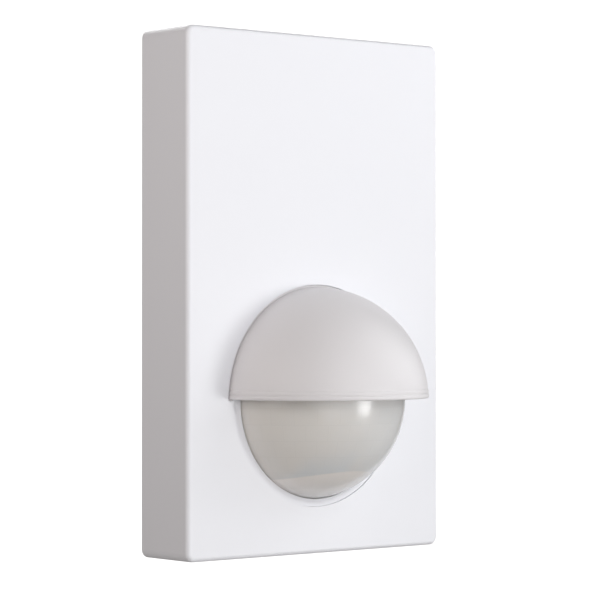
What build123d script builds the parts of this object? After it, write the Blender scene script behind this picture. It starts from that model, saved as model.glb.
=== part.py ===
from build123d import *
from math import asin, cos, degrees, radians, sin, sqrt, tan
import os

os.makedirs("parts", exist_ok=True)

# Wall-mounted motion sensor light switch, in millimetres.
# The wall is the plane Y = 0, the switch faces -Y, +Z is up and X = 0 is its middle.
# A depth is a distance from the wall. The dome's axis is square to the wall.

# Whole object
panel_width = 76.0
panel_height = 120.0
panel_depth = 17.0
rear_depth = 13.2
dome_margin = 7.3

# Clearances
cover_gap = 0.3
slide_gap = 0.4
turn_gap = 0.15
pin_gap = 0.05
cut_overrun = 1.0

# Every slotted screw: width of the slot as a share of the head
screw_slot_share = 0.2

# Front panel
panel_wall = 2.0
panel_corner_radius = 2.0
panel_edge_radius = 1.0
stake_radius = 1.0
stake_head_radius = 1.15
stake_head_height = 0.5
stake_count = 4
stake_first_angle = 45.0

# Hood: half a dome over the upper half of the lens, with a ring all round at its foot
hood_to_lens = 2.6
hood_flattening = 0.4
hood_wall = 1.6
hood_rim_lip = 0.3
hood_rim_height = 2.3
hood_foot_lift = 0.35
hood_flange_thickness = 1.2
hood_flange_lap = 2.5
ring_inset = 1.2
ring_gap = 0.2

# Lens
lens_radius = 23.3
lens_setback = 4.5
lens_wall = 1.0
lens_flange_lap = 2.3
lens_flange_thickness = 1.0
lens_seal_thickness = 0.5
lens_seal_lap = 0.7
lens_ring_lip = 0.8
lens_ring_inset = 0.2
lens_ring_clearance = 0.9

# Sensor housing, front shell
shell_wall = 1.6
shell_side_wall = 1.8
shell_corner_radius = 3.0
shell_edge_radius = 0.6
well_depth = 4.2
well_floor_wall = 1.4
well_wall = 1.5
well_gap = 0.4
sensor_window_inset = 5.3
case_boss_radius = 3.0
post_radius = 2.5
post_side_inset = 3.0
post_end_inset = 3.5

# Sensor housing, back cover
back_wall = 1.5
gasket_thickness = 0.8
case_screw_radius = 1.2
case_screw_head_radius = 2.4
case_screw_head_height = 1.4
case_screw_length = 7.0
bulge_side_gap = 2.5
bulge_end_gap = 1.2
bulge_to_block = 2.0
bulge_wall = 1.5

# Locking screw, upright in the lower side of the housing
lock_screw_radius = 1.5
lock_screw_length = 6.6
lock_head_radius = 2.8
lock_head_height = 1.3
lock_boss_radius = 3.0
lock_boss_height = 5.3
lock_screw_inset = 7.2
lock_slot_width = 0.8

# Hinge at the top of the bracket
hinge_barrel_radius = 2.6
hinge_pin_radius = 1.25
hinge_ear_inset = 9.0
hinge_ear_width = 5.0
hinge_pin_inset = 4.0

# Wall bracket
bracket_side_inset = 12.0
bracket_end_inset = 7.0
bracket_wall = 2.0
bracket_corner_radius = 3.0
rim_seal_thickness = 0.5
rim_seal_drop = 5.4
wall_screw_inset = 10.5
wall_slot_width = 4.5
wall_slot_length = 7.0
wall_slot_pad_radius = 5.5
wall_slot_pad_height = 0.6
rear_entry_radius = 7.0
entry_to_block = 1.0
lower_entry_radius = 4.2
lower_entry_inset = 11.0
drain_radius = 1.5
drain_inset = 8.0

# Latch lug and its catch
latch_width = 10.0
latch_thickness = 1.4
latch_nose = 1.35
latch_nose_depth = 1.6
latch_gap = 0.6
catch_depth = 1.5
catch_post = 1.4
catch_lip = 1.1
catch_width = 8.0

# Cable grommet and sealing plug
grommet_flange_radius = 9.0
grommet_flange_thickness = 1.2
grommet_cone_height = 4.5
grommet_mouth_radius = 3.0
grommet_wall = 1.1
grommet_mouth_length = 2.0
plug_flange_radius = 5.0
plug_flange_thickness = 1.0
plug_bore_radius = 3.0
plug_bore_depth = 2.6

# Terminal block
pole_count = 4
block_side_gap = 1.6
block_end_wall = 1.0
block_lift = 35.0
block_height = 15.0
block_depth = 9.5
block_ear = 4.4
block_ear_thickness = 3.0
block_ear_height = 7.0
block_screw_radius = 1.2
block_screw_head_radius = 1.9
block_screw_head_height = 1.2
block_screw_length = 4.6
clamp_width = 5.4
clamp_height = 6.2
clamp_depth = 5.6
clamp_wall = 0.8
clamp_foot = 1.0
clamp_cover = 1.6
clamp_fit = 0.1
wire_hole_radius = 1.5
terminal_screw_radius = 1.3
terminal_screw_head_radius = 2.0
terminal_screw_head_height = 1.3
terminal_screw_reach = 2.4

# Contact blades
blade_thickness = 0.8
blade_width = 3.6
blade_reach = 4.0
blade_gap = 0.7
blade_slot_wall = 1.4

# Boards
board_thickness = 1.6
board_side_gap = 3.8
board_end_gap = 6.8
board_corner_radius = 2.0
board_gap = 1.0
board_screw_radius = 1.1
board_screw_head_radius = 2.2
board_screw_head_height = 1.2
board_screw_length = 5.0
sensor_board_inset = 2.3
sensor_screw_radius = 0.9
sensor_screw_head_radius = 1.6
sensor_screw_head_height = 0.8
sensor_screw_length = 3.6
sensor_screw_count = 3
sensor_screw_first_angle = 90.0
connector_width = 10.0
connector_height = 2.6
connector_drop = 13.5

# Sensing head
sensor_tilt = 35.0
carrier_height = 12.0
carrier_half_width = 8.2
carrier_foot = 0.9
can_radius = 4.1
can_height = 3.6
can_flange_radius = 4.5
can_flange_height = 0.5
window_width = 5.2
window_height = 4.2
window_thickness = 0.4
light_sensor_radius = 1.5
light_sensor_height = 3.2
light_sensor_inset = 1.6
light_first_angle = 225.0
light_count = 4
light_tip_share = 0.9

# Controls behind the panel
knob_x = 13.0
knob_to_well = 6.0
knob_radius = 5.0
knob_face_thickness = 2.0
knob_hub_radius = 3.2
knob_slot_width = 1.2
knob_slot_length = 7.0
knob_slot_depth = 1.1
knob_sink = 0.2
pot_width = 9.6
pot_height = 4.0
pot_shaft_radius = 1.5
pot_shaft_length = 2.2
knob_edge_radius = 0.4

# Parts on the main board, towards the wall unless said otherwise. A lift is counted from the
# lower end of the bulge that holds them
part_gap = 0.5
relay_x = -11.0
relay_lift = 13.5
relay_width = 15.4
relay_height = 20.0
relay_depth = 10.4
film_x = 2.6
film_lift = 13.0
film_width = 7.5
film_height = 18.0
film_depth = 9.8
part_edge_radius = 0.5
storage_x = 13.6
storage_lift = 11.0
storage_radius = 4.0
storage_length = 15.0
storage_crimp = 0.35
varistor_x = 13.6
varistor_lift = 27.5
varistor_radius = 4.2
varistor_thickness = 3.6
varistor_lead_radius = 0.4
varistor_lead_length = 1.0
varistor_lead_spacing = 5.0
fuse_x = -11.0
fuse_lift = 29.2
fuse_radius = 4.1
fuse_height = 7.6
choke_x = 2.6
choke_lift = 28.4
choke_radius = 3.9
choke_height = 8.0
choke_flange = 1.0
choke_waist_radius = 1.9
choke_winding_radius = 3.3
chip_x = 0.0
chip_to_knobs = 16.0
chip_width = 7.0
chip_height = 1.4

# Depths and places that follow from the sizes above
hood_radius = lens_radius + hood_to_lens
hood_reach = hood_radius - hood_flattening
hood_flange_radius = hood_radius + hood_flange_lap
ring_radius = hood_radius - ring_inset
dome_z = dome_margin + hood_flange_radius - panel_height / 2
panel_rear = rear_depth
panel_front = panel_rear + panel_depth
panel_inner = panel_front - panel_wall
back_rear = panel_rear + cover_gap
back_front = back_rear + back_wall
gasket_front = back_front + gasket_thickness
shell_front = panel_inner - cover_gap
shell_inner = shell_front - shell_wall
housing_width = panel_width - 2 * (panel_wall + slide_gap)
housing_height = panel_height - 2 * (panel_wall + slide_gap)
inner_width = housing_width - 2 * shell_side_wall
inner_height = housing_height - 2 * shell_side_wall
inner_corner_radius = shell_corner_radius / 2

hood_foot = dome_z + hood_foot_lift
hood_flange_rear = panel_inner - hood_flange_thickness
hood_sphere = (hood_radius**2 + hood_reach**2) / (2 * hood_reach)
hood_centre = panel_front + hood_reach - hood_sphere
hood_front = panel_front + hood_reach
hood_opening_radius = hood_radius + hood_rim_lip + cover_gap
ring_opening_radius = ring_radius + turn_gap
stake_circle = (hood_flange_radius + hood_opening_radius) / 2

lens_centre = panel_front - lens_setback
lens_flange_radius = lens_radius + lens_flange_lap
lens_seal_inner_radius = lens_radius - lens_seal_lap
lens_ring_radius = hood_flange_radius - lens_ring_inset
lens_ring_opening_radius = lens_radius + lens_ring_clearance
well_floor_front = shell_front - well_depth
well_floor_rear = well_floor_front - well_floor_wall
well_radius = hood_flange_radius + well_gap
well_outer_radius = well_radius + well_wall
lens_rear = well_floor_front + lens_seal_thickness + turn_gap / 2
lens_flange_front = lens_rear + lens_flange_thickness
lens_lip_rear = lens_flange_front + turn_gap

sensor_window_radius = lens_radius - sensor_window_inset
sensor_board_radius = lens_radius - sensor_board_inset
sensor_screw_circle = (sensor_window_radius + sensor_board_radius) / 2
light_circle = sensor_window_radius - light_sensor_radius - light_sensor_inset
sensor_board_rear = well_floor_rear - board_thickness
main_board_front = sensor_board_rear - board_gap
main_board_rear = main_board_front - board_thickness
board_width = inner_width - 2 * board_side_gap
board_height = inner_height - 2 * board_end_gap
post_x = board_width / 2 - post_side_inset
post_z = board_height / 2 - post_end_inset
knob_z = dome_z + well_outer_radius + knob_to_well + knob_radius
bulge_rear = main_board_rear - relay_depth - part_gap - bulge_wall

case_screw_x = inner_width / 2 - case_boss_radius - cover_gap
case_screw_z = inner_height / 2 - case_boss_radius - cover_gap
lock_depth = shell_front - lock_screw_inset
lock_head_top = -panel_height / 2 + lock_head_height + turn_gap
lock_bore_length = lock_screw_length + panel_wall

bracket_width = panel_width - 2 * bracket_side_inset
bracket_height = panel_height - 2 * bracket_end_inset
bracket_bottom = -bracket_height / 2
bracket_inner_width = bracket_width - 2 * bracket_wall
wall_screw_spacing = bracket_height - 2 * wall_screw_inset
hinge_depth = back_rear - hinge_barrel_radius - cover_gap
hinge_z = bracket_height / 2 - hinge_barrel_radius
hinge_barrel_length = bracket_width - 2 * bracket_corner_radius
hinge_ear_x = bracket_width / 2 - hinge_ear_inset
hinge_pin_length = bracket_width - 2 * hinge_pin_inset
rim_depth = back_rear - rim_seal_thickness
rim_seal_top = hinge_z - rim_seal_drop
latch_front = rim_depth - slide_gap
nose_rear = latch_front - latch_nose_depth
catch_front = nose_rear - cover_gap
catch_rear = catch_front - catch_depth
catch_top = bracket_bottom - latch_nose - turn_gap
catch_foot = catch_top - catch_lip - catch_post

block_bottom = bracket_bottom + block_lift
block_top = block_bottom + block_height
block_front = bracket_wall + block_depth
block_width = bracket_inner_width - 2 * (block_ear + block_side_gap)
block_screw_x = (block_width + block_ear) / 2
block_screw_z = block_bottom + block_ear_height
block_screw_tip = bracket_wall + block_ear_thickness - block_screw_length
pole_pitch = (block_width - 2 * block_end_wall) / pole_count
pole_places = [(pole - (pole_count - 1) / 2) * pole_pitch for pole in range(pole_count)]
pocket_bottom = block_bottom + clamp_foot
blade_top = block_top - blade_slot_wall - blade_gap
blade_tip = block_front - blade_reach
bulge_foot = block_top + bulge_to_block
bulge_width = bracket_inner_width - 2 * bulge_side_gap
bulge_height = fuse_lift + fuse_radius + bulge_end_gap + bulge_wall
bulge_top = bulge_foot + bulge_height
bulge_z = (bulge_top + bulge_foot) / 2
rear_entry_z = block_bottom - entry_to_block - grommet_flange_radius
lower_entry_depth = (bracket_wall + rim_depth) / 2
lower_entry_x = lower_entry_inset - bracket_width / 2
drain_x = bracket_width / 2 - drain_inset

relay_z = bulge_foot + relay_lift
film_z = bulge_foot + film_lift
storage_z = bulge_foot + storage_lift
varistor_z = bulge_foot + varistor_lift
fuse_z = bulge_foot + fuse_lift
choke_z = bulge_foot + choke_lift
chip_z = knob_z + chip_to_knobs

dome_section = Plane(origin=(0, 0, dome_z), x_dir=(0, 0, -1), z_dir=(-1, 0, 0))
dome_axis = Axis((0, 0, dome_z), (0, -1, 0))
dome_place = [(0, dome_z)]
quarter_turn = 90


def at_depth(depth):
    """The plane parallel to the wall at this depth: X to the right, Z up, facing the front."""
    return Plane.XZ.offset(depth)


def bar(width, height, rear, front, corner=0, mode=Mode.ADD):
    """A straight bar square to the wall between two depths, at each place of the active locations."""
    with BuildSketch(at_depth(rear)) as profile:
        if corner:
            RectangleRounded(width, height, corner)
        else:
            Rectangle(width, height)
    extrude(profile.sketch, amount=front - rear, mode=mode)


def bar_at(x, z, width, height, rear, front, mode=Mode.ADD):
    """A bar square to the wall, its middle at x and z."""
    with BuildSketch(at_depth(rear)) as profile:
        with Locations((x, z)):
            Rectangle(width, height)
    extrude(profile.sketch, amount=front - rear, mode=mode)


def rods(places, radius, rear, front, mode=Mode.ADD):
    """Round rods square to the wall, one at each place (x, z)."""
    with BuildSketch(at_depth(rear)) as profile:
        with Locations(*places):
            Circle(radius)
    extrude(profile.sketch, amount=front - rear, mode=mode)


def ring(inner_radius, outer_radius, rear, front, mode=Mode.ADD):
    """A ring about the dome's axis between two depths."""
    with BuildSketch(at_depth(rear)) as profile:
        with Locations((0, dome_z)):
            Circle(outer_radius)
            Circle(inner_radius, mode=Mode.SUBTRACT)
    extrude(profile.sketch, amount=front - rear, mode=mode)


def dome_arc(radius, centre, foot):
    """The section of a ball about the dome's axis, from a depth at its foot to its tip."""
    foot_angle = degrees(asin((foot - centre) / radius))
    return CenterArc((0, centre), radius, foot_angle, quarter_turn - foot_angle)


def dome_shell(radius, centre, wall, rear, foot):
    """A shell: a straight skirt from the rear to the foot, and a dome in front of the foot."""
    with BuildSketch(dome_section) as profile:
        with BuildLine():
            outer = dome_arc(radius, centre, foot)
            inner = dome_arc(radius - wall, centre, foot)
            Polyline(
                outer @ 0,
                ((outer @ 0).X, rear),
                ((inner @ 0).X, rear),
                inner @ 0,
            )
            Line(inner @ 1, outer @ 1)
        make_face()
    revolve(profile.sketch, axis=dome_axis)


def lens_radius_at(depth):
    """The radius of the lens's outer surface at a depth in front of its centre."""
    return sqrt(lens_radius**2 - (depth - lens_centre) ** 2)


def four_places(x, z):
    """The four corners at plus and minus x and z."""
    return [(side * x, end * z) for side in (-1, 1) for end in (-1, 1)]


def polar_places(radius, count, first_angle):
    """Places evenly spaced on a circle about the dome's axis."""
    step = radians(360 / count)
    start = radians(first_angle)
    return [
        (radius * cos(start + turn * step), dome_z + radius * sin(start + turn * step))
        for turn in range(count)
    ]


def save(part, name):
    """Label a finished piece and write it."""
    part.label = name
    export_step(part, f"parts/{name}.step")


# Front panel: a slab open to the rear, with the opening for the hood and the stakes that hold it
stake_places = polar_places(stake_circle, stake_count, stake_first_angle)
with BuildPart() as front_panel:
    bar(panel_width, panel_height, panel_rear, panel_front, panel_corner_radius)
    fillet(front_panel.faces().sort_by(Axis.Y)[0].edges(), panel_edge_radius)
    bar(
        panel_width - 2 * panel_wall,
        panel_height - 2 * panel_wall,
        panel_rear,
        panel_inner,
        panel_corner_radius / 2,
        mode=Mode.SUBTRACT,
    )
    with BuildSketch(at_depth(panel_inner)):
        with Locations((0, dome_z)):
            Circle(hood_opening_radius)
        with Locations((0, hood_foot - cover_gap)):
            Rectangle(
                2 * hood_opening_radius,
                2 * hood_opening_radius,
                align=(Align.CENTER, Align.MAX),
                mode=Mode.SUBTRACT,
            )
        with Locations((0, dome_z)):
            Circle(ring_opening_radius)
    extrude(amount=panel_wall, mode=Mode.SUBTRACT)
    rods(stake_places, stake_radius, hood_flange_rear, panel_inner)
    rods(stake_places, stake_head_radius, hood_flange_rear - stake_head_height, hood_flange_rear)
    # Slot in the lower side for the locking screw, open to the rear, so the panel can leave forwards
    for slot_radius, floor in (
        (lock_screw_radius + slide_gap, -panel_height / 2 + panel_wall),
        (lock_head_radius + slide_gap, lock_head_top),
    ):
        with BuildSketch(Plane.XY.offset(floor)):
            with Locations((0, -lock_depth)):
                Circle(slot_radius)
                Rectangle(
                    2 * slot_radius,
                    lock_depth - panel_rear,
                    align=(Align.CENTER, Align.MIN),
                )
        extrude(amount=-panel_wall, mode=Mode.SUBTRACT)
save(front_panel.part, "front_panel")

# Hood bead: a band of a slightly larger dome, along the hood's lower edge
with BuildPart() as hood_bead:
    dome_shell(hood_sphere + hood_rim_lip, hood_centre, hood_wall, panel_inner, panel_front)
    bar_at(
        0,
        hood_foot + hood_rim_height / 2,
        panel_width,
        hood_rim_height,
        panel_inner,
        hood_front + cut_overrun,
        mode=Mode.INTERSECT,
    )

# Hood: the half dome, the bead on its lower edge, and the ring and flange behind the panel
with BuildPart() as lens_hood:
    dome_shell(hood_sphere, hood_centre, hood_wall, hood_flange_rear, panel_front)
    split(bisect_by=Plane.XY.offset(hood_foot), keep=Keep.TOP)
    add(hood_bead.part)
    ring(ring_radius - hood_wall / 2, hood_flange_radius, hood_flange_rear, panel_inner)
    with BuildSketch(dome_section):
        Polygon(
            (lens_radius_at(hood_flange_rear) + ring_gap, hood_flange_rear),
            (ring_radius, hood_flange_rear),
            (ring_radius, panel_front),
            (lens_radius_at(panel_front) + ring_gap, panel_front),
            align=None,
        )
    revolve(axis=dome_axis)
    rods(stake_places, stake_radius + pin_gap, hood_flange_rear, panel_inner, mode=Mode.SUBTRACT)
save(lens_hood.part, "lens_hood")

# Lens: a ball-shaped shell with a straight skirt and a flange
with BuildPart() as fresnel_lens:
    dome_shell(lens_radius, lens_centre, lens_wall, lens_rear, lens_centre)
    ring(lens_radius - lens_wall / 2, lens_flange_radius, lens_rear, lens_flange_front)
save(fresnel_lens.part, "fresnel_lens")

with BuildPart() as lens_seal:
    ring(lens_seal_inner_radius, lens_flange_radius, well_floor_front, lens_rear - turn_gap / 2)
save(lens_seal.part, "lens_seal")

# Retaining ring: sits on the floor of the well and laps over the flange of the lens
with BuildPart() as lens_ring:
    ring(lens_flange_radius + cover_gap, lens_ring_radius, well_floor_front, lens_lip_rear)
    ring(lens_ring_opening_radius, lens_ring_radius, lens_lip_rear, lens_lip_rear + lens_ring_lip)
save(lens_ring.part, "lens_ring")

# Sensor housing, front shell: tray with the lens well, the board posts and the knob openings
post_places = four_places(post_x, post_z)
case_screw_places = four_places(case_screw_x, case_screw_z)
sensor_screw_places = polar_places(
    sensor_screw_circle, sensor_screw_count, sensor_screw_first_angle
)
knob_places = [(-knob_x, knob_z), (knob_x, knob_z)]
with BuildPart() as sensor_housing:
    bar(housing_width, housing_height, gasket_front, shell_front, shell_corner_radius)
    fillet(sensor_housing.faces().sort_by(Axis.Y)[0].edges(), shell_edge_radius)
    bar(
        inner_width,
        inner_height,
        gasket_front,
        shell_inner,
        inner_corner_radius,
        mode=Mode.SUBTRACT,
    )
    rods(case_screw_places, case_boss_radius, back_front, shell_inner)
    rods(post_places, post_radius, main_board_front, shell_inner)
    rods(dome_place, well_outer_radius, well_floor_rear, shell_front)
    rods(dome_place, well_radius, well_floor_front, shell_front, mode=Mode.SUBTRACT)
    rods(dome_place, sensor_window_radius, well_floor_rear, well_floor_front, mode=Mode.SUBTRACT)
    rods(knob_places, knob_radius + cover_gap, shell_inner, shell_front, mode=Mode.SUBTRACT)
    with BuildSketch(Plane.XY.offset(-housing_height / 2)):
        with Locations((0, -lock_depth)):
            Circle(lock_boss_radius)
    extrude(amount=shell_side_wall + lock_boss_height)
    with BuildSketch(Plane.XY.offset(-housing_height / 2)):
        with Locations((0, -lock_depth)):
            Circle(lock_screw_radius + pin_gap)
    extrude(amount=lock_bore_length, mode=Mode.SUBTRACT)
    rods(
        case_screw_places,
        case_screw_radius + pin_gap,
        back_front,
        back_front + case_screw_length,
        mode=Mode.SUBTRACT,
    )
    rods(
        post_places,
        board_screw_radius + pin_gap,
        main_board_front,
        main_board_front + board_screw_length,
        mode=Mode.SUBTRACT,
    )
    rods(
        sensor_screw_places,
        sensor_screw_radius + pin_gap,
        well_floor_rear,
        well_floor_front,
        mode=Mode.SUBTRACT,
    )
save(sensor_housing.part, "sensor_housing")

with BuildPart() as housing_gasket:
    bar(housing_width, housing_height, back_front, gasket_front, shell_corner_radius)
    bar(inner_width, inner_height, back_front, gasket_front, inner_corner_radius, mode=Mode.SUBTRACT)
save(housing_gasket.part, "housing_gasket")

# Back cover: plate with the bulge that holds the tall parts, the hinge ears and the catch of the latch
with BuildPart() as housing_back:
    bar(housing_width, housing_height, back_rear, back_front, shell_corner_radius)
    bar_at(0, bulge_z, bulge_width, bulge_height, bulge_rear, back_rear)
    fillet(housing_back.faces().sort_by(Axis.Y)[-1].edges(), shell_edge_radius)
    bar_at(
        0,
        bulge_z,
        bulge_width - 2 * bulge_wall,
        bulge_height - 2 * bulge_wall,
        bulge_rear + bulge_wall,
        back_front,
        mode=Mode.SUBTRACT,
    )
    for ear_x in (-hinge_ear_x, hinge_ear_x):
        with BuildSketch(Plane.YZ.offset(ear_x - hinge_ear_width / 2)):
            with Locations((-hinge_depth, hinge_z)):
                Circle(hinge_barrel_radius)
                Rectangle(
                    back_rear - hinge_depth,
                    2 * hinge_barrel_radius,
                    align=(Align.MAX, Align.CENTER),
                )
                Circle(hinge_pin_radius + 2 * pin_gap, mode=Mode.SUBTRACT)
        extrude(amount=hinge_ear_width)
    with BuildSketch(Plane.YZ.offset(-catch_width / 2)):
        Polygon(
            (-back_rear, catch_foot),
            (-back_rear, catch_foot + catch_post),
            (-catch_front, catch_foot + catch_post),
            (-catch_front, catch_top),
            (-catch_rear, catch_top),
            (-catch_rear, catch_foot),
            align=None,
        )
    extrude(amount=catch_width)
    for pole_x in pole_places:
        bar_at(
            pole_x,
            blade_top - blade_width / 2,
            blade_thickness + 2 * cover_gap,
            blade_width + 2 * cover_gap,
            back_rear,
            back_front,
            mode=Mode.SUBTRACT,
        )
    rods(
        case_screw_places,
        case_screw_radius + pin_gap,
        back_rear,
        back_front,
        mode=Mode.SUBTRACT,
    )
save(housing_back.part, "housing_back")


def screws(places, radius, head_radius, head_height, seat, tip):
    """Slotted screws square to the wall: shanks from the seat to the tip, heads on its other side."""
    head_top = seat - head_height if tip > seat else seat + head_height
    for x, z in places:
        rods([(x, z)], radius, seat, tip)
        rods([(x, z)], head_radius, head_top, seat)
        bar_at(
            x,
            z,
            2 * head_radius,
            2 * head_radius * screw_slot_share,
            head_top,
            (head_top + seat) / 2,
            mode=Mode.SUBTRACT,
        )


with BuildPart() as housing_screws:
    screws(
        case_screw_places,
        case_screw_radius,
        case_screw_head_radius,
        case_screw_head_height,
        back_rear,
        back_front + case_screw_length - cover_gap,
    )
save(housing_screws.part, "housing_screws")

# Locking screw: its head lies in the panel's lower side, its shank in the housing
with BuildPart() as locking_screw:
    with BuildSketch(Plane.XY.offset(lock_head_top - lock_head_height)):
        with Locations((0, -lock_depth)):
            Circle(lock_head_radius)
    extrude(amount=lock_head_height - turn_gap / 2)
    with BuildSketch(Plane.XY.offset(lock_head_top - turn_gap / 2)):
        with Locations((0, -lock_depth)):
            Circle(lock_screw_radius)
    extrude(amount=lock_screw_length)
    with BuildSketch(Plane.XY.offset(lock_head_top - lock_head_height)):
        with Locations((0, -lock_depth)):
            Rectangle(2 * lock_head_radius, lock_slot_width)
            Rectangle(lock_slot_width, 2 * lock_head_radius)
    extrude(amount=lock_head_height / 2, mode=Mode.SUBTRACT)
save(locking_screw.part, "locking_screw")

# Wall bracket: shallow box screwed to the wall, with the hinge barrel, cable entries and latch notch
wall_slot_places = [(0, -wall_screw_spacing / 2), (0, wall_screw_spacing / 2)]
block_screw_places = [(-block_screw_x, block_screw_z), (block_screw_x, block_screw_z)]
with BuildPart() as wall_bracket:
    bar(bracket_width, bracket_height, 0, rim_depth, bracket_corner_radius)
    bar(
        bracket_inner_width,
        bracket_height - 2 * bracket_wall,
        bracket_wall,
        rim_depth,
        bracket_corner_radius / 2,
        mode=Mode.SUBTRACT,
    )
    bar_at(
        0,
        hinge_z + panel_height / 2,
        panel_width,
        panel_height,
        hinge_depth,
        rim_depth,
        mode=Mode.SUBTRACT,
    )
    with BuildSketch(Plane.YZ.offset(-hinge_barrel_length / 2)):
        with Locations((-hinge_depth, hinge_z)):
            Circle(hinge_barrel_radius)
    extrude(amount=hinge_barrel_length)
    for ear_x in (-hinge_ear_x, hinge_ear_x):
        bar_at(
            ear_x,
            hinge_z,
            hinge_ear_width + 2 * cover_gap,
            2 * (hinge_barrel_radius + cover_gap),
            hinge_depth - hinge_barrel_radius - cover_gap,
            rim_depth + cut_overrun,
            mode=Mode.SUBTRACT,
        )
    with BuildSketch(Plane.YZ.offset(-panel_width / 2)):
        with Locations((-hinge_depth, hinge_z)):
            Circle(hinge_pin_radius + pin_gap)
    extrude(amount=panel_width, mode=Mode.SUBTRACT)
    rods(wall_slot_places, wall_slot_pad_radius, bracket_wall, bracket_wall + wall_slot_pad_height)
    with BuildSketch(at_depth(0)):
        with Locations(*wall_slot_places):
            SlotOverall(wall_slot_length, wall_slot_width, rotation=90)
        with Locations((0, rear_entry_z)):
            Circle(rear_entry_radius)
    extrude(amount=bracket_wall + wall_slot_pad_height, mode=Mode.SUBTRACT)
    with BuildSketch(Plane.XY.offset(bracket_bottom)):
        with Locations((lower_entry_x, -lower_entry_depth)):
            Circle(lower_entry_radius)
        with Locations((drain_x, -lower_entry_depth)):
            Circle(drain_radius)
        with Locations((0, -bracket_wall)):
            Rectangle(
                latch_width + 2 * latch_gap,
                rim_depth - bracket_wall,
                align=(Align.CENTER, Align.MAX),
            )
    extrude(amount=bracket_wall, mode=Mode.SUBTRACT)
    rods(
        block_screw_places,
        block_screw_radius + pin_gap,
        block_screw_tip - pin_gap,
        bracket_wall,
        mode=Mode.SUBTRACT,
    )
save(wall_bracket.part, "wall_bracket")

with BuildPart() as rim_seal:
    bar(bracket_width, bracket_height, rim_depth, back_rear, bracket_corner_radius)
    bar(
        bracket_inner_width,
        bracket_height - 2 * bracket_wall,
        rim_depth,
        back_rear,
        bracket_corner_radius / 2,
        mode=Mode.SUBTRACT,
    )
    bar_at(
        0,
        rim_seal_top + panel_height / 2,
        panel_width,
        panel_height,
        rim_depth,
        back_rear,
        mode=Mode.SUBTRACT,
    )
save(rim_seal.part, "rim_seal")

with BuildPart() as hinge_pin:
    with BuildSketch(Plane.YZ.offset(-hinge_pin_length / 2)):
        with Locations((-hinge_depth, hinge_z)):
            Circle(hinge_pin_radius)
    extrude(amount=hinge_pin_length)
    chamfer(hinge_pin.edges().filter_by(GeomType.CIRCLE), hinge_pin_radius / 4)
save(hinge_pin.part, "hinge_pin")

# Latch lug: a springy tongue on the base of the bracket, with a nose that hooks behind the catch
with BuildPart() as latch_lug:
    with BuildSketch(Plane.YZ.offset(-latch_width / 2)):
        Polygon(
            (-bracket_wall, bracket_bottom + latch_thickness),
            (-bracket_wall, bracket_bottom),
            (-nose_rear, bracket_bottom),
            (-nose_rear, bracket_bottom - latch_nose),
            (-nose_rear - latch_nose_depth / 3, bracket_bottom - latch_nose),
            (-latch_front, bracket_bottom),
            (-latch_front, bracket_bottom + latch_thickness),
            align=None,
        )
    extrude(amount=latch_width)
save(latch_lug.part, "latch_lug")


def turned_at(x, z, points):
    """A solid of revolution about an axis square to the wall, from points (radius, depth)."""
    with BuildSketch(Plane(origin=(x, 0, z), x_dir=(1, 0, 0), z_dir=(0, 0, -1))) as profile:
        Polygon(*points, align=None)
    revolve(profile.sketch, axis=Axis((x, 0, z), (0, -1, 0)))


# Grommet in the rear cable entry: neck in the hole, flange inside, tapering to a round mouth
grommet_outer = rear_entry_radius - pin_gap
grommet_seat = bracket_wall + grommet_flange_thickness
grommet_top = grommet_seat + grommet_cone_height
with BuildPart() as cable_grommet:
    turned_at(
        0,
        rear_entry_z,
        [
            (grommet_outer - grommet_wall, cover_gap),
            (grommet_outer, cover_gap),
            (grommet_outer, bracket_wall),
            (grommet_flange_radius, bracket_wall),
            (grommet_flange_radius, grommet_seat),
            (grommet_outer, grommet_seat),
            (grommet_mouth_radius + grommet_wall, grommet_top),
            (grommet_mouth_radius, grommet_top),
            (grommet_mouth_radius, grommet_top - grommet_mouth_length),
            (grommet_outer - grommet_wall, grommet_seat),
        ],
    )
save(cable_grommet.part, "cable_grommet")

# Plug in the lower cable entry, with a thin floor to cut through for a cable from below
with BuildPart() as sealing_plug:
    for level, height, radius in (
        (bracket_bottom - plug_flange_thickness, plug_flange_thickness, plug_flange_radius),
        (bracket_bottom, bracket_wall, lower_entry_radius - pin_gap),
        (bracket_bottom + bracket_wall, plug_flange_thickness, plug_flange_radius),
    ):
        with BuildSketch(Plane.XY.offset(level)):
            with Locations((lower_entry_x, -lower_entry_depth)):
                Circle(radius)
        extrude(amount=height)
    with BuildSketch(Plane.XY.offset(bracket_bottom - plug_flange_thickness)):
        with Locations((lower_entry_x, -lower_entry_depth)):
            Circle(plug_bore_radius)
    extrude(amount=plug_bore_depth, mode=Mode.SUBTRACT)
save(sealing_plug.part, "sealing_plug")

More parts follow.
